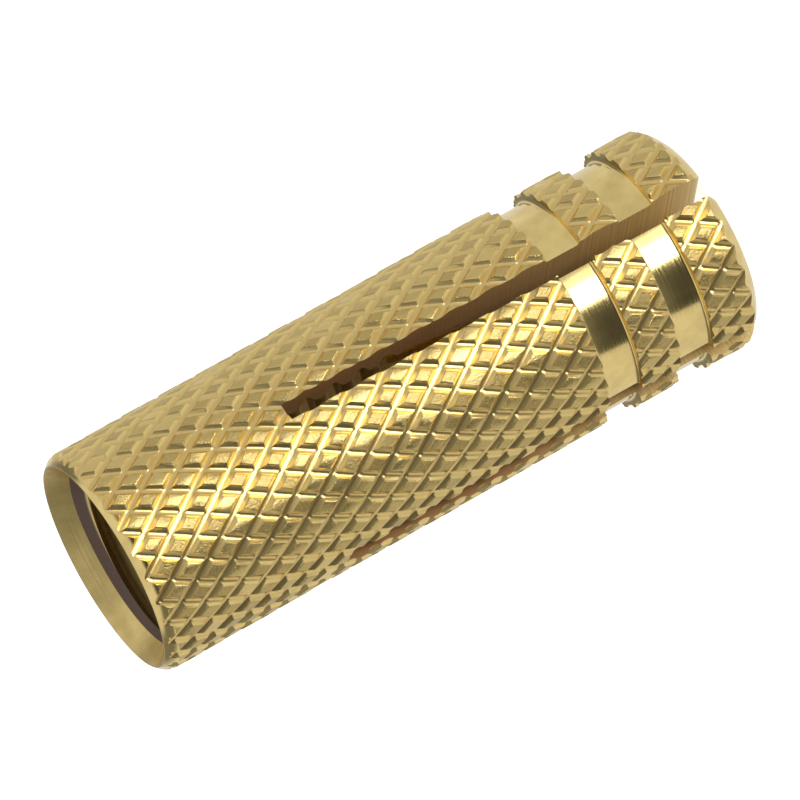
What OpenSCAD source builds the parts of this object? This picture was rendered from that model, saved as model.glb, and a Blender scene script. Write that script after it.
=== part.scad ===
// Expansion anchor: one brass sleeve, turned from bar and knurled all over, with a threaded
// hole in the mouth and four legs that two crossed saw cuts free from each other.
// A screw that is driven past the thread wedges the legs apart against a drilled hole.
// The anchor stands on the ends of its legs with its mouth up. Sizes are in millimetres.

/* [Sleeve] */
// Diameter over the tops of the knurl
sleeve_d = 9.7; // [9.3:0.1:10.5]
// Length from the ends of the legs to the mouth
sleeve_len = 28.1; // [26:0.1:34]
// How far the end of each leg stands out from the line of the sleeve
leg_splay = 0.08; // [0:0.01:0.2]

/* [Mouth] */
// Outer diameter of the thin rim round the mouth
rim_d = 9.04; // [8.8:0.02:9.24]
// Height of the bevel outside the rim
rim_bevel_h = 0.5; // [0.1:0.05:0.8]
// Width of the flat that the countersink leaves on the rim
rim_flat_w = 0.06; // [0.04:0.01:0.2]
// Full angle of the countersink
countersink_angle = 55; // [45:1:90]

/* [Bore] */
// Diameter of the threaded hole inside the crests of the thread
bore_d = 6.65; // [6:0.05:7]
// Diameter at the roots of the thread, where the countersink ends
thread_d = 8; // [7.6:0.05:8.3]
// Depth at which the threaded hole ends, from the mouth
bore_depth = 15; // [11:0.5:17]
// Length of the cone that the screw wedges open
cone_len = 6.5; // [4:0.5:9]
// Diameter of the hole between the ends of the legs
tip_hole_d = 2.5; // [1.5:0.1:3.5]

/* [Slots] */
// Width of the saw cuts where they end in the sleeve
slot_w = 0.8; // [0.5:0.05:1.2]
// Length of the saw cuts from the ends of the legs
slot_len = 19.7; // [14:0.1:23]
// How far the front saw cut leans from the line of the sleeve
front_cut_lean = 0.84; // [-1:0.02:1]
// Width of the bevel on the corners of the saw cuts at the ends of the legs
slot_bevel_w = 0.16; // [0.05:0.01:0.3]
// Height of that bevel
slot_bevel_h = 0.24; // [0.1:0.02:0.5]

/* [Grooves] */
// Width of each turned groove at the outside
groove_w = 1.6; // [0.8:0.1:2.2]
// Depth of each turned groove below the tops of the knurl
groove_depth = 0.43; // [0.25:0.01:0.8]
// Radius that the turning tool leaves in the corners of a groove
groove_fillet = 0.15; // [0.05:0.01:0.2]
// Length of the knurled band between the two grooves
middle_band_len = 1.8; // [1:0.1:3]
// Length of the knurled band next to the bevel at the ends of the legs
end_band_len = 1.8; // [1:0.1:3]

/* [Leg ends] */
// Diameter of the flat ends of the legs
tip_d = 8.55; // [6.5:0.05:8.8]
// Height of the bevel round the ends of the legs
tip_bevel_h = 0.6; // [0.3:0.05:1.5]

/* [Knurl] */
// Distance along the sleeve between neighbouring knurl cuts
knurl_pitch = 1.72; // [1.5:0.02:2.4]
// Number of cuts round the sleeve that climb to the left
knurl_left_cuts = 27; // [20:1:27]
// Number of cuts round the sleeve that climb to the right
knurl_right_cuts = 29; // [20:1:31]
// Width of the cuts that climb to the left, at the tops of the knurl
knurl_left_w = 0.58; // [0.2:0.02:0.6]
// Width of the cuts that climb to the right
knurl_right_w = 0.46; // [0.2:0.02:0.5]
// Depth of a knurl cut
knurl_depth = 0.18; // [0.1:0.01:0.24]
// How far up the sleeve the pattern of the knurl is shifted
knurl_shift = 1.6; // [0:0.02:1.7]
// How far round the sleeve the pattern of the knurl is turned
knurl_turn = -2.78; // [-3.2:0.02:3.2]

/* [Hidden] */
$fn = 84;
brass = [0.80, 0.68, 0.36];

// Distance that a cutting tool passes beyond the face it cuts
over = 1;
// Flats that make up the rounded corner of a groove
corner_steps = 2;
sleeve_r = sleeve_d / 2;
slot_root_z = slot_len;
bore_end_z = sleeve_len - bore_depth;
cone_end_z = bore_end_z - cone_len;
countersink_d = rim_d - 2 * rim_flat_w;
countersink_depth = (countersink_d - thread_d) / 2 / tan(countersink_angle / 2);
// The first turn of the thread slopes down from the countersink as the flank of any thread does
thread_flank_angle = 30;
shoulder_h = (thread_d - bore_d) / 2 * tan(thread_flank_angle);
lower_groove_z = tip_bevel_h + end_band_len;
upper_groove_z = lower_groove_z + groove_w + middle_band_len;

// The two families of knurl cuts cross in columns round the sleeve
knurl_columns = knurl_left_cuts + knurl_right_cuts;
// Cells from one end of a column to the other, with one to spare for the stepped ends
knurl_rows = ceil((sleeve_len + knurl_shift) / knurl_pitch) + 1;
left_cut_spacing = cut_spacing(knurl_left_cuts);
right_cut_spacing = cut_spacing(knurl_right_cuts);
// Share of a cell that half a cut takes, on each side of the flat top
left_inset = knurl_left_w / 2 / left_cut_spacing;
right_inset = knurl_right_w / 2 / right_cut_spacing;

// Distance between neighbouring cuts of one family, square to the cuts
function cut_spacing(cuts) =
    let (round_step = PI * sleeve_d / cuts)
    round_step * knurl_pitch / norm([round_step, knurl_pitch]);

// How far the sleeve's surface stands out at height z, where the legs lean outward
function splay(z) = leg_splay * max(0, 1 - z / slot_root_z);

// Point on the knurl that is a cuts of the left family and b cuts of the right family away
// from the start of the pattern, with its surface drop below the tops of the knurl
function knurl_point(a, b, drop) =
    let (turn = knurl_turn + 360 * (a - b) / knurl_columns,
         z = knurl_pitch * (a * knurl_right_cuts + b * knurl_left_cuts) / knurl_columns - knurl_shift,
         r = sleeve_r + splay(z) - drop)
    [r * cos(turn), r * sin(turn), z];

// Lowest left cut that crosses column k
function first_cut(k) = floor(k * knurl_left_cuts / knurl_columns);

// Crossing of two cuts in column k, row n
function crossing(k, n) =
    let (a = first_cut(k) + n)
    knurl_point(a, a - k, knurl_depth);

// Four corners of the flat top of a cell, anticlockwise from its lowest corner
function cell_top(k, n) =
    let (a = first_cut(k) + n, b = a - k)
    [for (corner = [[left_inset, right_inset], [1 - left_inset, right_inset],
                    [1 - left_inset, 1 - right_inset], [left_inset, 1 - right_inset]])
        knurl_point(a + corner.x, b + corner.y, 0)];

// Numbers of the crossings and of the flat tops' corners in the list of points
function crossing_index(k, n) =
    let (column = (k + knurl_columns) % knurl_columns)
    column * (knurl_rows + 1) + n;
function top_index(k, n, corner) =
    knurl_columns * (knurl_rows + 1) + (k * knurl_rows + n) * 4 + corner;

// Two triangles of a four-sided face
function halves(p, q, r, s) = [[p, r, q], [p, s, r]];

// Faces of a cell: its flat top and the four slopes down to the cuts round it
function cell_faces(k, n) =
    let (low = crossing_index(k, n),
         right = crossing_index(k + 1, n + 1 - first_cut(k + 1) + first_cut(k)),
         high = crossing_index(k, n + 1),
         left = crossing_index(k - 1, n + first_cut(k) - first_cut(k - 1)),
         rim = [low, right, high, left],
         top = [for (corner = [0:3]) top_index(k, n, corner)])
    concat(halves(top[0], top[1], top[2], top[3]),
           [for (side = [0:3], next = [(side + 1) % 4])
               each halves(rim[side], rim[next], top[next], top[side])]);

// Solid bar with the diamond knurl all over it, a little longer than the sleeve
module knurled_bar() {
    crossings = [for (k = [0:knurl_columns - 1], n = [0:knurl_rows]) crossing(k, n)];
    tops = [for (k = [0:knurl_columns - 1], n = [0:knurl_rows - 1]) each cell_top(k, n)];
    foot = len(crossings) + len(tops);
    head = foot + 1;
    ends = [[0, 0, -knurl_pitch], [0, 0, knurl_rows * knurl_pitch]];
    cells = [for (k = [0:knurl_columns - 1], n = [0:knurl_rows - 1]) each cell_faces(k, n)];
    caps = [for (k = [0:knurl_columns - 1])
        each [[foot, crossing_index(k, 0), crossing_index(k + 1, 0)],
              [head, crossing_index(k + 1, knurl_rows), crossing_index(k, knurl_rows)]]];
    polyhedron(points = concat(crossings, tops, ends), faces = concat(cells, caps));
}

// Ring that a turning tool takes off outside the line from [r, z] to [r, z]
module turn_off(low_point, high_point) {
    far = sleeve_r + leg_splay + over;
    rotate_extrude()
        polygon([low_point, high_point, [far, high_point.y], [far, low_point.y]]);
}

// Trims the ends of the bar flat and bevels their corners
module end_cuts() {
    far = sleeve_r + leg_splay + over;
    spare = 3 * knurl_pitch;
    translate([0, 0, sleeve_len]) cylinder(r = far, h = spare);
    translate([0, 0, -spare]) cylinder(r = far, h = spare);
    mouth_bevel = (sleeve_r - rim_d / 2) / rim_bevel_h;
    turn_off([sleeve_r, sleeve_len - rim_bevel_h],
             [rim_d / 2 - over * mouth_bevel, sleeve_len + over]);
    tip_r = sleeve_r + splay(tip_bevel_h);
    tip_bevel = (tip_r - tip_d / 2) / tip_bevel_h;
    turn_off([tip_d / 2 - over * tip_bevel, -over], [tip_r, tip_bevel_h]);
}

// Points round the corner of a groove, whose floor is at radius floor_r, from one angle to another
function groove_corner(floor_r, z, from, to) =
    [for (i = [0:corner_steps])
        let (turn = from + (to - from) * i / corner_steps)
        [floor_r + groove_fillet * (1 + cos(turn)), z + groove_fillet * sin(turn)]];

// Turned groove whose lower edge is at height z
module groove(z) {
    far = sleeve_r + leg_splay + over;
    low_r = sleeve_r + splay(z) - groove_depth;
    high_r = sleeve_r + splay(z + groove_w) - groove_depth;
    rotate_extrude()
        polygon([[far, z + groove_w], [far, z],
                 each groove_corner(low_r, z + groove_fillet, 270, 180),
                 each groove_corner(high_r, z + groove_w - groove_fillet, 180, 90)]);
}

// Countersink, threaded hole, wedging cone and the hole between the legs
module bore() {
    spread = over * tan(countersink_angle / 2);
    rotate_extrude()
        polygon([[0, -over],
                 [tip_hole_d / 2, -over],
                 [tip_hole_d / 2, cone_end_z],
                 [bore_d / 2, bore_end_z],
                 [bore_d / 2, sleeve_len - countersink_depth - shoulder_h],
                 [thread_d / 2, sleeve_len - countersink_depth],
                 [countersink_d / 2 + spread, sleeve_len + over],
                 [0, sleeve_len + over]]);
}

// Point on the left (-1) or right (1) edge of a saw cut that leans, at height z
function slot_edge(side, lean, z) =
    let (opening = (slot_w + sqrt(2) * splay(z)) / 2,
         bevel = slot_bevel_w / slot_bevel_h * max(0, slot_bevel_h - z))
    [side * (opening + bevel) + tan(lean) * (z - slot_root_z / 2), z];

// Saw cut right across the sleeve, which opens a little as the legs lean outward
module saw_cut(lean) {
    reach = sleeve_r + leg_splay + over;
    rotate([90, 0, 0])
        linear_extrude(height = 2 * reach, center = true)
            polygon([for (z = [-over, slot_bevel_h, slot_root_z]) slot_edge(1, lean, z),
                     for (z = [slot_root_z, slot_bevel_h, -over]) slot_edge(-1, lean, z)]);
}

module anchor() {
    color(brass)
        difference() {
            knurled_bar();
            end_cuts();
            groove(lower_groove_z);
            groove(upper_groove_z);
            bore();
            saw_cut(front_cut_lean);
            rotate([0, 0, 90]) saw_cut(0);
        }
}

anchor();
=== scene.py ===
"""Dresses the brass expansion anchor: rolled diamond knurl, turned grooves, tapped hole and sawn legs.

The sleeve is built as a maker makes it: a knurled bar is turned, bored and tapped, and then sawn.
"""

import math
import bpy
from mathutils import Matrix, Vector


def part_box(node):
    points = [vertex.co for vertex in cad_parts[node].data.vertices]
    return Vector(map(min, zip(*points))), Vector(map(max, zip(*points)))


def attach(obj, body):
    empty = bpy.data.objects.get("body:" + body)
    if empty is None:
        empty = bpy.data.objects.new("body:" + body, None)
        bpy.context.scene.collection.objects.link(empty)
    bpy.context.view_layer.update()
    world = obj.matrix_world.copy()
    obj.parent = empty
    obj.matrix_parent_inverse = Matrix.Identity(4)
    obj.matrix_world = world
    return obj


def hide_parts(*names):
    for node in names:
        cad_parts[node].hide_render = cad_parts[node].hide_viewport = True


bl_info = {
    "name": "Brass expansion anchor",
    "version": (1, 0, 0),
    "blender": (4, 5, 0),
    "location": "View3D > Sidebar > Anchor",
    "description": "Builds a knurled brass expansion anchor and its studio",
    "category": "Add Mesh",
}

import bpy
import numpy as np
from mathutils import Matrix, Vector

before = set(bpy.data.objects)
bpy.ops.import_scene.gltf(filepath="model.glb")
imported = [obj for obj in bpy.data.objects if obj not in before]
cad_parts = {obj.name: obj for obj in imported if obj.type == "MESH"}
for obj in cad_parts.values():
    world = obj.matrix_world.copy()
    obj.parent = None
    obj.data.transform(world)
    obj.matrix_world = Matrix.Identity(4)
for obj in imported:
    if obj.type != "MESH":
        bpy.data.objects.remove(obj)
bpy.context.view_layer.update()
NODE = "anchor"
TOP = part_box(NODE)[1].z

MM = 0.001
UP = Vector((0.0, 0.0, 1.0))


# ---------------------------------------------------------------- sizes and colours


def linear(code):
    """Linear colour of an sRGB hex value such as #F0D68E."""
    values = [int(code[i : i + 2], 16) / 255 for i in (1, 3, 5)]
    return tuple(v / 12.92 if v <= 0.04045 else ((v + 0.055) / 1.055) ** 2.4 for v in values)


def length(name, description, millimetres):
    """A size in the sidebar."""
    return bpy.props.FloatProperty(
        name=name, description=description, default=millimetres * MM, precision=5, unit="LENGTH"
    )


def turn(name, description, degrees):
    """An angle in the sidebar."""
    return bpy.props.FloatProperty(
        name=name, description=description, default=math.radians(degrees), unit="ROTATION"
    )


def count(name, description, value):
    """A whole number in the sidebar."""
    return bpy.props.IntProperty(name=name, description=description, default=value)


def colour(name, description, code):
    """A colour in the sidebar, from its sRGB hex value."""
    return bpy.props.FloatVectorProperty(
        name=name, description=description, default=linear(code), subtype="COLOR", min=0.0, max=1.0
    )


class AnchorSizes(bpy.types.PropertyGroup):
    """Sizes of the sleeve."""

    sleeve_d: length("Sleeve diameter", "Diameter over the tops of the knurl", 9.7)
    leg_splay: length("Leg splay", "How far each leg stands out at its end", 0.08)
    rim_d: length("Rim diameter", "Outer diameter of the thin rim round the mouth", 9.04)
    rim_bevel_h: length("Rim bevel", "Height of the bevel outside the rim", 0.5)
    rim_flat_w: length("Rim flat", "Width of the flat rim", 0.06)
    countersink_angle: turn("Countersink", "Full angle of the countersink", 55)
    bore_d: length("Bore diameter", "Diameter inside the crests of the thread", 6.65)
    thread_d: length("Thread diameter", "Diameter at the roots of the thread", 8.0)
    thread_pitch: length("Thread pitch", "Distance between turns of the thread", 1.25)
    thread_turn: turn("Thread turn", "How far round the thread is turned", 40)
    bore_depth: length("Bore depth", "Depth of the threaded hole from the mouth", 15)
    cone_len: length("Cone length", "Length of the cone that the screw wedges open", 6.5)
    tip_hole_d: length("Tip hole", "Diameter of the hole between the leg ends", 2.5)
    slot_w: length("Saw cut", "Width of the saw cuts at their root", 0.8)
    slot_len: length("Saw cut length", "Length of the saw cuts from the leg ends", 19.7)
    slot_bevel_w: length("Saw cut bevel width", "Bevel at the leg ends, across the cut", 0.16)
    slot_bevel_h: length("Saw cut bevel height", "Height of that bevel", 0.24)
    front_lean: turn("Front cut lean", "How far the front saw cut leans", 0.84)
    groove_w: length("Groove width", "Width of each turned groove", 1.6)
    groove_depth: length("Groove depth", "Depth of each turned groove", 0.43)
    groove_fillet: length("Groove fillet", "Radius that the tool leaves in a groove", 0.15)
    middle_band_len: length("Middle band", "Knurled band between the grooves", 1.8)
    end_band_len: length("End band", "Knurled band next to the bevel of the legs", 1.8)
    tip_d: length("Leg end diameter", "Diameter of the flat ends of the legs", 8.55)
    tip_bevel_h: length("Leg bevel", "Height of the bevel round the leg ends", 0.6)


class KnurlSizes(bpy.types.PropertyGroup):
    """Sizes of the diamond knurl."""

    pitch: length("Pitch", "Distance along the sleeve between cuts", 1.72)
    left_cuts: count("Left cuts", "Cuts round the sleeve that climb to the left", 27)
    right_cuts: count("Right cuts", "Cuts round the sleeve that climb to the right", 29)
    left_w: length("Left width", "Width of the cuts that climb to the left", 0.58)
    right_w: length("Right width", "Width of the cuts that climb to the right", 0.46)
    cut_depth: length("Depth", "Depth of the cuts that climb to the right, the shallower", 0.16)
    shift: length("Shift", "How far up the sleeve the pattern is shifted", 1.6)
    turned: turn("Turn", "How far round the sleeve the pattern is turned", -2.78)


class AnchorColours(bpy.types.PropertyGroup):
    """Colours of the brass."""

    brass: colour("Brass", "Bright yellow brass", "#F0D68E")
    skin: colour("Skin", "The drawn skin of the bar, browner and duller", "#C3AA6C")
    # Tone that varies along the saw's lines on sawn faces, and painted shade in the floors of the knurl
    # cuts
    tarnish: colour("Tarnish", "Dull brass in the cuts and on sawn faces", "#A5824F")
    # Painted shade towards the root of a saw cut, deep in the narrow cut
    sooty: colour("Sooty", "Sawn brass under the oil at the root of a saw cut", "#A67A48")
    # Painted shade on the thread seen just inside the mouth
    oiled: colour("Oiled", "Brass under dried cutting oil", "#5E4638")


class StudioSizes(bpy.types.PropertyGroup):
    """Where the camera stands, and its lens."""

    aim_z: length("Aim", "Height that the camera looks at", 14.22)
    distance: length("Distance", "From the camera to the anchor's axis", 334.0)
    azimuth: turn("Azimuth", "Direction of the camera round the anchor", -110.1)
    elevation: turn("Elevation", "Height of the camera as an angle", 15.47)
    roll: turn("Roll", "How far the sleeve's axis leans in the picture", -29.41)
    lens: bpy.props.FloatProperty(
        name="Lens", description="Focal length on a 36 mm sensor", default=377.8, unit="CAMERA"
    )


def numbers(group):
    """The values of a property group by name."""
    return {key: getattr(group, key) for key in group.__annotations__}


# ---------------------------------------------------------------- meshes


def new_mesh(name, points, faces):
    """A mesh object in the scene."""
    mesh = bpy.data.meshes.new(name)
    mesh.from_pydata([tuple(p) for p in points], [], [tuple(f) for f in faces])
    mesh.update()
    piece = bpy.data.objects.new(name, mesh)
    bpy.context.scene.collection.objects.link(piece)
    return piece


def combine(target, cutter, operation):
    """Cuts or intersects target with cutter, and removes cutter."""
    step = target.modifiers.new(operation.lower(), "BOOLEAN")
    step.operation = operation
    step.object = cutter
    step.solver = "MANIFOLD"
    bpy.context.view_layer.objects.active = target
    with bpy.context.temp_override(object=target, active_object=target):
        bpy.ops.object.modifier_apply(modifier=step.name)
    bpy.data.objects.remove(cutter)


def ring_faces(row, size):
    """Quads between a row of points round a ring and the next row up."""
    low, high = row * size, (row + 1) * size
    faces = []
    for i in range(size):
        j = (i + 1) % size
        faces.append((low + i, low + j, high + j, high + i))
    return faces


def lathe(name, outline, steps=240):
    """A closed solid turned about the Z axis, from an outline of (radius, height) that ends on it."""
    inner = outline[1:-1]
    turns = [2 * math.pi * i / steps for i in range(steps)]
    points = [(r * math.cos(t), r * math.sin(t), z) for r, z in inner for t in turns]
    low, high = len(points), len(points) + 1
    points += [(0, 0, outline[0][1]), (0, 0, outline[-1][1])]
    faces = []
    for row in range(len(inner) - 1):
        faces += ring_faces(row, steps)
    top = (len(inner) - 1) * steps
    for i in range(steps):
        j = (i + 1) % steps
        faces.append((low, j, i))
        faces.append((high, top + i, top + j))
    return new_mesh(name, points, faces)


def arc(centre, radius, start, end, steps=5):
    """Points on an arc in the plane of an outline, from one angle to another in degrees."""
    angles = [math.radians(start + (end - start) * i / steps) for i in range(steps + 1)]
    return [(centre[0] + radius * math.cos(a), centre[1] + radius * math.sin(a)) for a in angles]


def bow(start, end, degrees, steps=6):
    """Points on a shallow arc from start to end that turns by degrees and bulges to its right."""
    across = np.subtract(end, start)
    side = np.array([across[1], -across[0]])
    half = math.radians(degrees) / 2
    points = []
    for i in range(steps + 1):
        lean = half * (2 * i / steps - 1)
        share = 0.5 + math.sin(lean) / math.sin(half) / 2
        bulge = (math.cos(lean) - math.cos(half)) / math.sin(half) / 2
        points.append(tuple(np.array(start) + across * share + side * bulge))
    return points


def helix_mesh(name, keys, sides, place):
    """A closed mesh of faces with that many sides, given by whole-number keys for each corner.

    Corners with the same key are one point, place turns keys into points, and a fan to the axis
    closes each end.
    """
    faces = np.arange(len(keys)).reshape(-1, sides)
    corners, first = np.unique(keys, axis=0, return_inverse=True)
    loops = first.reshape(-1)[faces]
    points = place(corners[:, 0], corners[:, 1])
    edges = np.concatenate([loops[:, [i, (i + 1) % sides]] for i in range(sides)])
    total = len(points)
    forward = edges[:, 0] * total + edges[:, 1]
    backward = edges[:, 1] * total + edges[:, 0]
    border = edges[~np.isin(forward, backward)]
    middle = points[:, 2].mean()
    is_low = points[border[:, 0], 2] < middle
    ends = np.array([[0, 0, points[:, 2].min()], [0, 0, points[:, 2].max()]])
    fans = [(total + (0 if low else 1), b, a) for (a, b), low in zip(border, is_low)]
    return new_mesh(name, np.vstack([points, ends]), [*loops.tolist(), *fans])


# ---------------------------------------------------------------- the knurled bar

# The two halves of a knurl cut's section: shares of its half width, outward from the middle of its floor
CUT_SHARES = {
    "left": ((0.0, 0.28, 0.45, 0.71, 0.88), (0.0, 0.27, 0.47, 0.78, 0.92)),
    "right": ((0.0, 0.22, 0.44, 0.82, 1.04), (0.0, 0.24, 0.44, 0.88, 1.12)),
}
# Depths there, in shares of the shallower cut. Both kinds of cut share levels, which keeps corners crisp
CUT_DEPTHS = {"left": (1.2, 1.14, 0.84, 0.22, 0.0), "right": (1.0, 0.96, 0.84, 0.22, 0.0)}
# How far the tops of the knurl differ in height, and how ragged their edges are
TOP_UNEVENNESS = 0.012 * MM
EDGE_RAGGEDNESS = 0.012 * MM
# How much a top leans for each line of points that it spans, in shares of its unevenness
TOP_LEAN = 0.35
# Only points above this share of the depth are ragged
RAGGED_ABOVE = 0.5
# How many tops differ before their heights repeat, and the steps through them from one cut of the left
# and of the right family to the next
TOPS = 4096
TOP_STEPS = (61, 17)
SEED = 7


def splay(s, z):
    """How far the surface stands out at height z, where the legs lean outward."""
    return s["leg_splay"] * np.maximum(0.0, 1.0 - z / s["slot_len"])


def cut_spacing(s, k, cuts):
    """Distance between neighbouring knurl cuts of one family, square to the cuts."""
    step = math.pi * s["sleeve_d"] / cuts
    return step * k["pitch"] / math.hypot(step, k["pitch"])


def cut_family(s, k, side):
    """One family's lines of points across a cut, as shares of the spacing, and its depth by share."""
    spacing = cut_spacing(s, k, k[side + "_cuts"])
    ahead, behind = [np.array(half) * k[side + "_w"] / 2 / spacing for half in CUT_SHARES[side]]
    depths = np.array(CUT_DEPTHS[side]) * k["cut_depth"]
    lines = np.append(ahead, 1 - behind[:0:-1])
    return lines, np.append(lines, 1.0), np.append(depths, depths[::-1])


def diamond_faces(size):
    """Triangles of one diamond of the knurl, whose diagonals run along the creases between cuts."""
    half = size // 2
    triangles = []
    for p in range(size):
        for q in range(size):
            corners = [(p, q), (p + 1, q), (p + 1, q + 1), (p, q + 1)]
            if (p > half) != (q > half):
                corners = corners[1:] + corners[:1]
            triangles += [corners[:3], corners[2:] + corners[:1]]
    return np.array(triangles)


def knurled_bar(s, k):
    """The bar with both families of knurl cuts, a little longer than the sleeve."""
    columns = k["left_cuts"] + k["right_cuts"]
    rows = math.ceil((TOP + k["shift"]) / k["pitch"]) + 1
    families = [cut_family(s, k, side) for side in ("left", "right")]
    size = len(families[0][0])
    diamond = diamond_faces(size)
    keys = []
    for column in range(columns):
        low = column * k["left_cuts"] // columns
        for row in range(rows):
            corner = np.array([low + row, low + row - column]) * size
            keys.append(diamond + corner)
    # Corners are keyed by their line among the left cuts and by how far round they lie, less whole laps,
    # so that the two sides of the seam share their corners
    keys = np.concatenate(keys).reshape(-1, 2)
    around = keys[:, 0] - keys[:, 1]
    laps = around // (columns * size)
    keys = np.stack([keys[:, 0] - laps * k["left_cuts"] * size, around - laps * columns * size], -1)
    random = np.random.default_rng(SEED)
    levels, left_leans, right_leans, _ = random.normal(0.0, 1.0, (4, TOPS))

    def place(left, around):
        right = left - around
        where = []
        drops = []
        for value, (lines, bounds, depths) in zip((left, right), families):
            share = lines[value % size]
            where.append(value // size + share)
            drops.append(np.interp(share, bounds, depths))
        a, b = where
        angle = 2 * math.pi * (a - b) / columns + k["turned"]
        z = k["pitch"] * (a * k["right_cuts"] + b * k["left_cuts"]) / columns - k["shift"]
        drop = np.maximum(*drops)
        top = ((left // size) * TOP_STEPS[0] + (right // size) * TOP_STEPS[1]) % TOPS
        lean = left_leans[top] * (left % size - size / 2) + right_leans[top] * (right % size - size / 2)
        uneven = np.abs(levels[top]) + TOP_LEAN * np.abs(lean)
        drop = drop + (drop <= 0.0) * TOP_UNEVENNESS * uneven
        ragged = random.normal(0.0, EDGE_RAGGEDNESS, len(z))
        z = z + ragged * (drop < RAGGED_ABOVE * k["cut_depth"])
        radius = s["sleeve_d"] / 2 + splay(s, z) - drop
        return np.stack([radius * np.cos(angle), radius * np.sin(angle), z], -1)

    return helix_mesh("knurled_bar", keys, 3, place)


# ---------------------------------------------------------------- turning, boring, tapping and sawing

# How far a solid that cuts reaches past what it cuts
PAST = 1 * MM
# A sliver that keeps two faces from lying in one plane
SLIVER = 0.05 * MM
# How far the turned bevels at the ends are rounded over, in degrees
TIP_ROUNDING = 24
RIM_ROUNDING = 36
# Slope of a thread's flanks, in degrees from square to the hole
THREAD_FLANK = 30
# Where the crest, a flank, the root and the other flank of the thread begin, in shares of its pitch
THREAD_STATIONS = (0.0, 0.25, 0.5625, 0.6875)
# Height over which the tap's lead lets the thread run out at the bottom, and how far below it starts
TAP_LEAD = 1.2 * MM
TAP_RUNOUT = 0.2 * MM
# How much smaller the drill is than the crests, so that the tap alone shapes them
DRILL_UNDER = 0.01 * MM


def turned_outline(s):
    """Outline of everything that the turning tool leaves: rim, grooves and bevels."""
    r = s["sleeve_d"] / 2
    clear = r + s["leg_splay"] + PAST / 2
    lower = s["tip_bevel_h"] + s["end_band_len"]
    upper = lower + s["groove_w"] + s["middle_band_len"]
    bevel_r = r + float(splay(s, s["tip_bevel_h"]))
    outline = [(0, 0)] + bow((s["tip_d"] / 2, 0), (bevel_r, s["tip_bevel_h"]), TIP_ROUNDING)
    outline.append((clear, s["tip_bevel_h"] + SLIVER))
    for low in (lower, upper):
        high = low + s["groove_w"]
        fillet = s["groove_fillet"]
        floor = [r + float(splay(s, z)) - s["groove_depth"] for z in (low, high)]
        outline.append((clear, low))
        outline += arc((floor[0] + fillet, low + fillet), fillet, 270, 180)
        outline += arc((floor[1] + fillet, high - fillet), fillet, 180, 90)
        outline.append((clear, high))
    outline.append((clear, TOP - s["rim_bevel_h"] - SLIVER))
    outline += bow((r, TOP - s["rim_bevel_h"]), (s["rim_d"] / 2, TOP), RIM_ROUNDING)
    return outline + [(0, TOP)]


def tap(s, steps=96):
    """Solid of the threaded hole: the shape that a right-hand tap cuts, longer than the hole."""
    pitch = s["thread_pitch"]
    minor, major = s["bore_d"] / 2, s["thread_d"] / 2
    radii = np.array([minor, minor, major, major])
    size = len(THREAD_STATIONS)
    rows = (math.ceil(s["bore_depth"] / pitch) + 4) * size
    t, q = np.meshgrid(np.arange(steps), np.arange(rows), indexing="ij")
    keys = np.stack([t, q, t + 1, q, t + 1, q + 1, t, q + 1], -1).reshape(-1, 2)
    wrapped = keys[:, 0] == steps
    keys = np.stack([keys[:, 0] % steps, keys[:, 1] + wrapped * size], -1)
    start = TOP - s["bore_depth"] - 2 * pitch

    def place(t, q):
        z = start + pitch * (q // size + np.array(THREAD_STATIONS)[q % size] + t / steps)
        radius = radii[q % size]
        angle = 2 * math.pi * t / steps + s["thread_turn"]
        return np.stack([radius * np.cos(angle), radius * np.sin(angle), z], -1)

    return helix_mesh("tap", keys, 4, place)


def bore_end(s):
    """Height at which the threaded hole ends and the wedging cone begins."""
    return TOP - s["bore_depth"]


def sink_end(s):
    """Height at which the countersink meets the roots of the thread."""
    wide = (s["rim_d"] - s["thread_d"]) / 2 - s["rim_flat_w"]
    return TOP - wide / math.tan(s["countersink_angle"] / 2)


def threaded_hole(s):
    """What the tap cuts, from its tapered lead at the bottom to past the mouth."""
    end = bore_end(s)
    root_r = s["thread_d"] / 2 + SLIVER
    reach = [
        (0, end - TAP_RUNOUT),
        (s["bore_d"] / 2 - TAP_RUNOUT, end - TAP_RUNOUT),
        (root_r, end + TAP_LEAD),
        (root_r, TOP + PAST / 2),
        (0, TOP + PAST / 2),
    ]
    thread = tap(s)
    combine(thread, lathe("reach", reach), "INTERSECT")
    return thread


def drilled_hole(s):
    """Countersink, plain hole, wedging cone and the hole between the legs."""
    drill_r = s["bore_d"] / 2 - DRILL_UNDER
    sink_r = s["thread_d"] / 2
    mouth_r = s["rim_d"] / 2 - s["rim_flat_w"]
    shoulder = (sink_r - drill_r) * math.tan(math.radians(THREAD_FLANK))
    slope = math.tan(s["countersink_angle"] / 2)
    outline = [
        (0, -PAST),
        (s["tip_hole_d"] / 2, -PAST),
        (s["tip_hole_d"] / 2, bore_end(s) - s["cone_len"]),
        (drill_r, bore_end(s)),
        (drill_r, sink_end(s) - shoulder),
        (sink_r, sink_end(s)),
        (mouth_r + PAST * slope, TOP + PAST),
        (0, TOP + PAST),
    ]
    return lathe("hole", outline)


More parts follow.
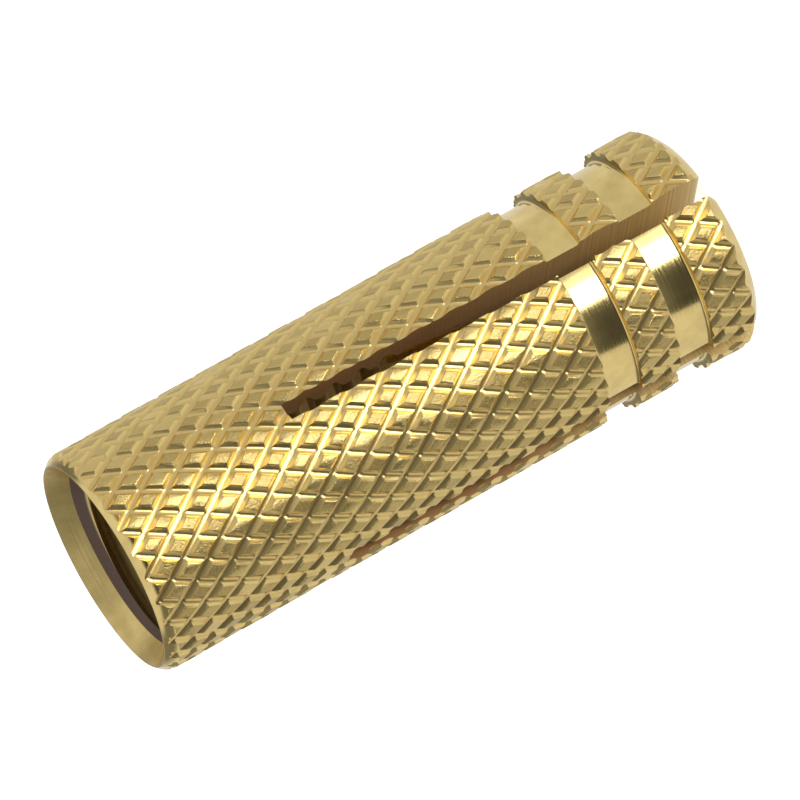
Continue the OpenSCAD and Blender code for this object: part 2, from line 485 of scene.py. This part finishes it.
def saw_cut(s, lean, quarter, steps=24):
    """Solid that one saw cut takes out, right across the sleeve, wider where the legs lean apart."""
    reach = s["sleeve_d"] / 2 + s["leg_splay"] + PAST
    middle = s["slot_len"] / 2
    bevel = s["slot_bevel_h"]
    heights = [-PAST, *np.linspace(bevel, s["slot_len"], steps)]
    points = []
    for z in heights:
        half = (s["slot_w"] + math.sqrt(2) * float(splay(s, z))) / 2
        half += max(0.0, bevel - z) / bevel * s["slot_bevel_w"]
        shift = math.tan(lean) * (z - middle)
        for x, y in ((-half, -reach), (half, -reach), (half, reach), (-half, reach)):
            points.append((x + shift, y, z))
    faces = [(3, 2, 1, 0)]
    for row in range(len(heights) - 1):
        faces += ring_faces(row, 4)
    last = len(points) - 4
    faces.append((last, last + 1, last + 2, last + 3))
    cut = new_mesh("saw_cut", points, faces)
    cut.data.transform(Matrix.Rotation(-quarter * math.pi / 2, 4, "Z"))
    return cut


# ---------------------------------------------------------------- finishes

# How wide and how deep the marks in each finish are. The rings of the turning tool and the countersink
# are as far apart as real feeds. The pits of drawn skin, the grain that a tap tears and a saw's lines
# are finer on real brass, and are drawn as coarse as they need to show
MARKS = {
    "skin": (0.09 * MM, 0.028 * MM),
    "turned": (0.05 * MM, 0.0012 * MM),
    "tapped": (0.12 * MM, 0.01 * MM),
    "sawn": (0.1 * MM, 0.002 * MM),
    "countersunk": (0.06 * MM, 0.004 * MM),
}
# Roughness of each finish, where it is brightest and where it is dullest
ROUGHNESS = {
    "skin": (0.24, 0.4),
    "turned": (0.05, 0.22),
    "tapped": (0.4, 0.5),
    "sawn": (0.42, 0.52),
    "countersunk": (0.32, 0.38),
}
BURNISHED = 0.28
# Share of its marks that burnished brass keeps
BURNISHED_MARKS = 0.12
# Size of the clouds in which turned and countersunk brass dulls
TURNED_CLOUDS = 0.9 * MM
COUNTERSUNK_CLOUDS = 0.7 * MM
# Range in which most noise lies
GRAIN = (0.3, 0.7)
# Heights over the tops of the knurl, in millimetres, over which their skin ends, and over which the cuts
# are painted darker towards their floors as shade
SKIN_EDGE = (-0.05, -0.01)
CUT_SHADE = (-0.2, -0.06)
# How much of a metal's own shine is left on tapped brass, and on a torn sawn face
TAPPED_SHINE = 0.2
SAWN_SHINE = 0.2


def add_node(tree, kind, inputs=(), **settings):
    """Adds a node with its settings, sets or links its inputs by order or name, and gives its outputs."""
    node = tree.nodes.new(kind)
    for key, value in settings.items():
        setattr(node, key, value)
    for key, value in inputs.items() if isinstance(inputs, dict) else enumerate(inputs):
        if isinstance(value, bpy.types.NodeSocket):
            tree.links.new(value, node.inputs[key])
        else:
            node.inputs[key].default_value = value
    return node.outputs


def new_material(name):
    """An empty node material and its tree."""
    material = bpy.data.materials.new(name)
    material.use_nodes = True
    tree = material.node_tree
    tree.nodes.clear()
    return material, tree


def height_above_tops(tree, place, s):
    """How far a point lies above the tops of the knurl, in millimetres."""
    split = add_node(tree, "ShaderNodeSeparateXYZ", [place])
    flat = add_node(tree, "ShaderNodeCombineXYZ", [split["X"], split["Y"]])[0]
    radius = add_node(tree, "ShaderNodeVectorMath", [flat], operation="LENGTH")["Value"]
    foot_r, head_r = s["sleeve_d"] / 2 + s["leg_splay"], s["sleeve_d"] / 2
    tops = add_node(tree, "ShaderNodeMapRange", [split["Z"], 0.0, s["slot_len"], foot_r, head_r])[0]
    above = add_node(tree, "ShaderNodeMath", [radius, tops], operation="SUBTRACT")[0]
    return add_node(tree, "ShaderNodeMath", [above, 1 / MM], operation="MULTIPLY")[0]


def tool_rings(tree, place, feed):
    """Uneven rings round the sleeve, about a feed apart, as a tool leaves them."""
    height = add_node(tree, "ShaderNodeSeparateXYZ", [place])["Z"]
    wave = {"W": height, "Scale": 1 / feed, "Detail": 3.0, "Roughness": 0.6}
    return add_node(tree, "ShaderNodeTexNoise", wave, noise_dimensions="1D")["Fac"]


def finish_metal(tree, shown, roughness, marks, depth, metallic=1.0):
    """Ends a metal's nodes in its shader, with marks of the given depth."""
    bump = add_node(tree, "ShaderNodeBump", {"Height": marks, "Strength": 1.0, "Distance": depth})
    look = {
        "Base Color": shown,
        "Metallic": metallic,
        "Roughness": roughness,
        "Normal": bump["Normal"],
    }
    shader = add_node(tree, "ShaderNodeBsdfPrincipled", look)
    add_node(tree, "ShaderNodeOutputMaterial", {"Surface": shader["BSDF"]})


def knurled_brass(s, c):
    """Rolled brass bar: the flat tops keep the bar's dull drawn skin, the roller burnishes the cuts, and
    painted shade darkens the floors of the cuts.
    """
    material, tree = new_material("rolled_knurled_brass")
    place = add_node(tree, "ShaderNodeTexCoord")["Object"]
    above = height_above_tops(tree, place, s)
    width, depth = MARKS["skin"]
    top = add_node(tree, "ShaderNodeMapRange", [above, *SKIN_EDGE, 0.0, 1.0])[0]
    # Painted shade: the cuts turn part way to the tarnish colour towards their floors
    cut_shade = add_node(tree, "ShaderNodeMapRange", [above, *CUT_SHADE, 0.35, 0.0])[0]
    grain = {"Vector": place, "Scale": 1 / width, "Detail": 3.0, "Roughness": 0.65}
    pits = add_node(tree, "ShaderNodeTexNoise", grain)["Fac"]
    shown = add_node(tree, "ShaderNodeMix", {0: top, 6: c["brass"], 7: c["skin"]}, data_type="RGBA")[2]
    shown = add_node(tree, "ShaderNodeMix", {0: cut_shade, 6: shown, 7: c["tarnish"]}, data_type="RGBA")[2]
    dull = add_node(tree, "ShaderNodeMapRange", [pits, *GRAIN, *ROUGHNESS["skin"]])[0]
    roughness = add_node(tree, "ShaderNodeMix", {0: top, 2: BURNISHED, 3: dull}, data_type="FLOAT")[0]
    weight = add_node(tree, "ShaderNodeMapRange", [top, 0.0, 1.0, BURNISHED_MARKS, 1.0])[0]
    marks = add_node(tree, "ShaderNodeMath", [pits, weight], operation="MULTIPLY")[0]
    finish_metal(tree, shown, roughness, marks, depth)
    return material


def turned_brass(s, c):
    """Brass left bright by a turning tool: fine rings round the sleeve stretch highlights along it."""
    material, tree = new_material("turned_brass")
    place = add_node(tree, "ShaderNodeTexCoord")["Object"]
    width, depth = MARKS["turned"]
    rings = tool_rings(tree, place, width)
    grain = {"Vector": place, "Scale": 1 / TURNED_CLOUDS, "Detail": 2.0, "Roughness": 0.5}
    cloud = add_node(tree, "ShaderNodeTexNoise", grain)["Fac"]
    dull = add_node(tree, "ShaderNodeMapRange", [cloud, 0.35, 0.75, 0.0, 0.5])[0]
    shown = add_node(tree, "ShaderNodeMix", {0: dull, 6: c["brass"], 7: c["skin"]}, data_type="RGBA")[2]
    roughness = add_node(tree, "ShaderNodeMapRange", [rings, 0.35, 0.65, *ROUGHNESS["turned"]])[0]
    finish_metal(tree, shown, roughness, rings, depth)
    return material


def tapped_brass(s, c):
    """Brass cut by a tap: the first turns below the countersink are painted dark as shade, and the
    thread's crests get a painted highlight of bright brass.
    """
    material, tree = new_material("tapped_brass")
    place = add_node(tree, "ShaderNodeTexCoord")["Object"]
    above = height_above_tops(tree, place, s)
    height = add_node(tree, "ShaderNodeSeparateXYZ", [place])["Z"]
    width, depth = MARKS["tapped"]
    grain = {"Vector": place, "Scale": 1 / width, "Detail": 3.0, "Roughness": 0.5}
    torn = add_node(tree, "ShaderNodeTexNoise", grain)["Fac"]
    # Painted highlight: bright brass on the thread's crests, where they catch the light
    crests = (s["bore_d"] - s["sleeve_d"]) / 2 / MM
    crest_highlight = add_node(tree, "ShaderNodeMapRange", [above, crests + 0.05, crests + 0.14, 1.0, 0.0])[0]
    # Painted shade: the first turns of the thread below the countersink are painted dark, turning to the
    # skin colour deeper down
    heights = (sink_end(s) - 1.0 * MM, sink_end(s) - 0.3 * MM)
    below_hole_shade = add_node(tree, "ShaderNodeMapRange", [height, *heights, 1.0, 0.0])[0]
    shown = add_node(tree, "ShaderNodeMix", {0: below_hole_shade, 6: c["oiled"], 7: c["skin"]}, data_type="RGBA")[2]
    shown = add_node(tree, "ShaderNodeMix", {0: crest_highlight, 6: shown, 7: c["brass"]}, data_type="RGBA")[2]
    roughness = add_node(tree, "ShaderNodeMapRange", [torn, *GRAIN, *ROUGHNESS["tapped"]])[0]
    finish_metal(tree, shown, roughness, torn, depth, TAPPED_SHINE)
    return material


def sawn_brass(s, c):
    """Brass cut by a slitting saw: close lines across the cut, and painted darker towards its root as
    shade deep in the narrow cut.
    """
    material, tree = new_material("sawn_brass")
    place = add_node(tree, "ShaderNodeTexCoord")["Object"]
    height = add_node(tree, "ShaderNodeSeparateXYZ", [place])["Z"]
    width, depth = MARKS["sawn"]
    lines = tool_rings(tree, place, width)
    dull = add_node(tree, "ShaderNodeMapRange", [lines, *GRAIN, 0.0, 0.5])[0]
    grained = add_node(tree, "ShaderNodeMix", {0: dull, 6: c["brass"], 7: c["tarnish"]}, data_type="RGBA")[2]
    # Painted shade: the sawn faces turn to the darker root colour towards the root of the cut, away from
    # the leg ends
    heights = (0.05 * s["slot_len"], 0.65 * s["slot_len"])
    root = add_node(tree, "ShaderNodeMapRange", [height, *heights, 0.0, 0.95])[0]
    shown = add_node(tree, "ShaderNodeMix", {0: root, 6: grained, 7: c["sooty"]}, data_type="RGBA")[2]
    roughness = add_node(tree, "ShaderNodeMapRange", [lines, *GRAIN, *ROUGHNESS["sawn"]])[0]
    finish_metal(tree, shown, roughness, lines, depth, SAWN_SHINE)
    return material


def countersunk_brass(s, c):
    """Brass cut by a countersink: its chattered rings spread light in soft streaks round the mouth."""
    material, tree = new_material("countersunk_brass")
    place = add_node(tree, "ShaderNodeTexCoord")["Object"]
    width, depth = MARKS["countersunk"]
    rings = tool_rings(tree, place, width)
    grain = {"Vector": place, "Scale": 1 / COUNTERSUNK_CLOUDS, "Detail": 3.0, "Roughness": 0.5}
    cloud = add_node(tree, "ShaderNodeTexNoise", grain)["Fac"]
    dull = add_node(tree, "ShaderNodeMapRange", [cloud, *GRAIN, 0.0, 0.5])[0]
    shown = add_node(tree, "ShaderNodeMix", {0: dull, 6: c["brass"], 7: c["skin"]}, data_type="RGBA")[2]
    roughness = add_node(tree, "ShaderNodeMapRange", [cloud, *GRAIN, *ROUGHNESS["countersunk"]])[0]
    finish_metal(tree, shown, roughness, rings, depth)
    return material


# The finishes by their number on a face
FINISHES = (knurled_brass, turned_brass, tapped_brass, sawn_brass, countersunk_brass)
KNURLED, TURNED, TAPPED, SAWN, COUNTERSUNK = range(len(FINISHES))
# Edges of the sleeve that turn by more than this many degrees stay sharp
SHARP_EDGE = 24


def finish_faces(piece, materials, finish):
    """Gives a piece the materials, and its faces a finish: a number, or a function of their height."""
    piece.data.materials.clear()
    for material in materials:
        piece.data.materials.append(material)
    for face in piece.data.polygons:
        face.material_index = finish(face.center.z) if callable(finish) else finish
    return piece


class ANCHOR_OT_sleeve(bpy.types.Operator):
    """Builds the knurled, turned, tapped and sawn sleeve"""

    bl_idname = "anchor.sleeve"
    bl_label = "Build the sleeve"

    def execute(self, context):
        s = numbers(context.scene.anchor_sizes)
        k = numbers(context.scene.anchor_knurl)
        colours = numbers(context.scene.anchor_colours)
        c = {name: (*value, 1.0) for name, value in colours.items()}
        materials = [finish(s, c) for finish in FINISHES]

        def hole_finish(z):
            if z > sink_end(s):
                return COUNTERSUNK
            return TAPPED if z > bore_end(s) else TURNED

        sleeve = finish_faces(knurled_bar(s, k), materials, KNURLED)
        sleeve.name = "knurled_sleeve"
        turning = lathe("turning", turned_outline(s))
        combine(sleeve, finish_faces(turning, materials, TURNED), "INTERSECT")
        combine(sleeve, finish_faces(threaded_hole(s), materials, TAPPED), "DIFFERENCE")
        combine(sleeve, finish_faces(drilled_hole(s), materials, hole_finish), "DIFFERENCE")
        for lean, quarter in ((s["front_lean"], 0), (0.0, 1)):
            combine(sleeve, finish_faces(saw_cut(s, lean, quarter), materials, SAWN), "DIFFERENCE")
        sleeve.data.polygons.foreach_set("use_smooth", [True] * len(sleeve.data.polygons))
        sleeve.data.set_sharp_from_angle(angle=math.radians(SHARP_EDGE))
        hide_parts(NODE)
        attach(sleeve, "root")
        return {"FINISHED"}


# ---------------------------------------------------------------- studio

WHITE = (*linear("#FFFFFF"), 1.0)
CARD = (*linear("#F3F3F3"), 1.0)
# Half the floor's side, in metres, and the light that it gives besides what it scatters
FLOOR_HALF = 1.5
FLOOR_GLOW = 0.8

# The room that the brass mirrors, where 1 is white. Below a horizon lies a white table, dimmer towards
# the mouth's side. Above it stand a pale wall behind the sleeve and a dark room in front, paler beyond
# the leg ends and pale again beyond the mouth
TABLE_GLOW = 0.8
DIM_TABLE_GLOW = 0.22
WALL_GLOW = 0.7
ROOM_GLOW = 0.075
FAR_GLOW = 0.5
HIGH_GLOW = 0.8
# Where one part of the room goes over into the next: shares of a direction that point up from the
# table, to the front and along the sleeve
TABLE_EDGE = (-0.02, 0.02)
WALL_EDGE = (-0.1, 0.25)
TABLE_DIMMING = (0.0, 0.3)
FAR_EDGE = (-0.8, -0.3)
HIGH_EDGE = (0.57, 0.7)
# Direction round the sleeve, from the camera, that is up from the table
ROOM_UP = math.radians(-25.3)

# Each lamp's direction round the sleeve from the camera in degrees, its width in metres and its glow
LAMPS = {"softbox": (-1, 0.165, 5.5), "side_panel": (-18, 0.08, 1.2)}
# The lamps' distance from the axis, how far they hang towards the leg ends, and their length, in metres
LAMP_DISTANCE = 0.4
LAMP_DROP = 0.128
LAMP_LENGTH = 0.326

# The camera's sensor in millimetres, and the nearest and farthest that it sees, in metres
SENSOR_W = 36.0
SIGHT = (0.01, 20.0)


def view_axes(studio):
    """Directions in the anchor's frame: level towards the camera, and across, along and away in view."""
    turned, tilt = studio["azimuth"], studio["elevation"]
    towards = Vector((math.cos(turned), math.sin(turned), 0.0))
    across = Vector((math.sin(turned), -math.cos(turned), 0.0))
    along = towards * math.sin(tilt) - UP * math.cos(tilt)
    away = -UP * math.sin(tilt) - towards * math.cos(tilt)
    return towards, across, along, away


def round_sleeve(towards, across, angle):
    """The direction that lies an angle round the sleeve from the camera."""
    return towards * math.cos(angle) + across * math.sin(angle)


def aim(piece, place, x_axis, y_axis):
    """Sets a lamp or camera at place, with its own X and Y axes in the given directions."""
    z_axis = x_axis.cross(y_axis)
    rows = Matrix((x_axis, y_axis, z_axis)).transposed().to_4x4()
    piece.matrix_world = Matrix.Translation(place) @ rows


def build_floor():
    """A pale floor under the leg ends, which only the camera sees: the brass mirrors the room."""
    h = FLOOR_HALF
    floor = new_mesh("floor", [(-h, -h, 0), (h, -h, 0), (h, h, 0), (-h, h, 0)], [(0, 1, 2, 3)])
    # Matt white card: an even ground, on which the sleeve's shadow shows
    material, tree = new_material("white_studio_card")
    rays = add_node(tree, "ShaderNodeLightPath")
    card = add_node(tree, "ShaderNodeBsdfDiffuse", {"Color": CARD})[0]
    glow = add_node(tree, "ShaderNodeEmission", {"Color": WHITE, "Strength": FLOOR_GLOW})[0]
    lit = add_node(tree, "ShaderNodeAddShader", [card, glow])[0]
    clear = add_node(tree, "ShaderNodeBsdfTransparent")[0]
    seen = add_node(tree, "ShaderNodeMixShader", [rays["Is Camera Ray"], clear, lit])[0]
    add_node(tree, "ShaderNodeOutputMaterial", {"Surface": seen})
    floor.data.materials.append(material)


def build_room(studio):
    """The world: the room that the brass mirrors, and plain white for the camera."""
    towards, across, _, away = view_axes(studio)
    room_up = round_sleeve(towards, across, ROOM_UP)
    front = (-away - room_up * (-away).dot(room_up)).normalized()
    world = bpy.data.worlds.new("studio")
    bpy.context.scene.world = world
    world.use_nodes = True
    tree = world.node_tree
    tree.nodes.clear()
    ray = add_node(tree, "ShaderNodeTexCoord")["Generated"]
    upward, forward, lengthwise = [
        add_node(tree, "ShaderNodeVectorMath", [ray, direction], operation="DOT_PRODUCT")["Value"]
        for direction in (room_up, front, UP)
    ]
    table = add_node(tree, "ShaderNodeMapRange", [upward, *TABLE_EDGE, 1.0, 0.0])[0]
    wall = add_node(tree, "ShaderNodeMapRange", [forward, *WALL_EDGE, 1.0, 0.0])[0]
    far = add_node(tree, "ShaderNodeMapRange", [lengthwise, *FAR_EDGE, FAR_GLOW, ROOM_GLOW])[0]
    high = add_node(tree, "ShaderNodeMapRange", [lengthwise, *HIGH_EDGE, 0.0, HIGH_GLOW])[0]
    table_levels = [lengthwise, *TABLE_DIMMING, TABLE_GLOW, DIM_TABLE_GLOW]
    table_glow = add_node(tree, "ShaderNodeMapRange", table_levels)[0]
    room = add_node(tree, "ShaderNodeMix", {0: wall, 2: far, 3: WALL_GLOW}, data_type="FLOAT")[0]
    level = add_node(tree, "ShaderNodeMix", {0: table, 2: room, 3: table_glow}, data_type="FLOAT")[0]
    glow = add_node(tree, "ShaderNodeMath", [level, high], operation="MAXIMUM")[0]
    camera_ray = add_node(tree, "ShaderNodeLightPath")["Is Camera Ray"]
    seen = add_node(tree, "ShaderNodeMix", {0: camera_ray, 2: glow, 3: 1.0}, data_type="FLOAT")[0]
    shine = add_node(tree, "ShaderNodeBackground", {"Color": WHITE, "Strength": seen})[0]
    add_node(tree, "ShaderNodeOutputWorld", {"Surface": shine})


def build_lamps(studio):
    """A softbox on the camera's side of the sleeve and a dimmer panel beside it."""
    towards, across, _, _ = view_axes(studio)
    for name, (direction, width, brightness) in LAMPS.items():
        lamp = bpy.data.lights.new(name, "AREA")
        lamp.shape = "RECTANGLE"
        lamp.size, lamp.size_y = width, LAMP_LENGTH
        lamp.energy = brightness * math.pi * width * LAMP_LENGTH
        panel = bpy.data.objects.new(name, lamp)
        bpy.context.scene.collection.objects.link(panel)
        panel.visible_camera = False
        above = round_sleeve(towards, across, math.radians(direction))
        aim(panel, above * LAMP_DISTANCE - UP * LAMP_DROP, above.cross(UP), UP * -1)


def build_camera(studio):
    """The camera, rolled so that the sleeve lies askew in its picture."""
    _, across, along, away = view_axes(studio)
    roll = studio["roll"]
    right = along * math.cos(roll) - across * math.sin(roll)
    down = along * math.sin(roll) + across * math.cos(roll)
    lens = bpy.data.cameras.new("camera")
    lens.lens = studio["lens"]
    lens.sensor_width = SENSOR_W
    lens.clip_start, lens.clip_end = SIGHT
    camera = bpy.data.objects.new("camera", lens)
    bpy.context.scene.collection.objects.link(camera)
    aim(camera, UP * studio["aim_z"] - away * studio["distance"], right, -down)
    bpy.context.scene.camera = camera


class ANCHOR_OT_studio(bpy.types.Operator):
    """Sets the floor, the room, the lamps and the camera"""

    bl_idname = "anchor.studio"
    bl_label = "Set the studio"

    def execute(self, context):
        studio = numbers(context.scene.anchor_studio)
        build_floor()
        build_room(studio)
        build_lamps(studio)
        build_camera(studio)
        context.scene.view_settings.view_transform = "Standard"
        return {"FINISHED"}


# ---------------------------------------------------------------- add-on

PROPERTIES = {
    "anchor_sizes": AnchorSizes,
    "anchor_knurl": KnurlSizes,
    "anchor_colours": AnchorColours,
    "anchor_studio": StudioSizes,
}


class ANCHOR_PT_panel(bpy.types.Panel):
    """Lists the anchor's operators and sizes."""

    bl_label = "Brass expansion anchor"
    bl_idname = "ANCHOR_PT_panel"
    bl_space_type = "VIEW_3D"
    bl_region_type = "UI"
    bl_category = "Anchor"

    def draw(self, context):
        layout = self.layout
        for operator in (ANCHOR_OT_sleeve, ANCHOR_OT_studio):
            layout.operator(operator.bl_idname)
        for name in PROPERTIES:
            group = getattr(context.scene, name)
            for key in group.__annotations__:
                layout.prop(group, key)


CLASSES = (*PROPERTIES.values(), ANCHOR_OT_sleeve, ANCHOR_OT_studio, ANCHOR_PT_panel)


def register():
    for cls in CLASSES:
        bpy.utils.register_class(cls)
    for name, group in PROPERTIES.items():
        setattr(bpy.types.Scene, name, bpy.props.PointerProperty(type=group))


def unregister():
    for name in PROPERTIES:
        delattr(bpy.types.Scene, name)
    for cls in reversed(CLASSES):
        bpy.utils.unregister_class(cls)


def main():
    register()
    bpy.ops.anchor.sleeve()
    bpy.ops.anchor.studio()


if __name__ == "__main__":
    main()
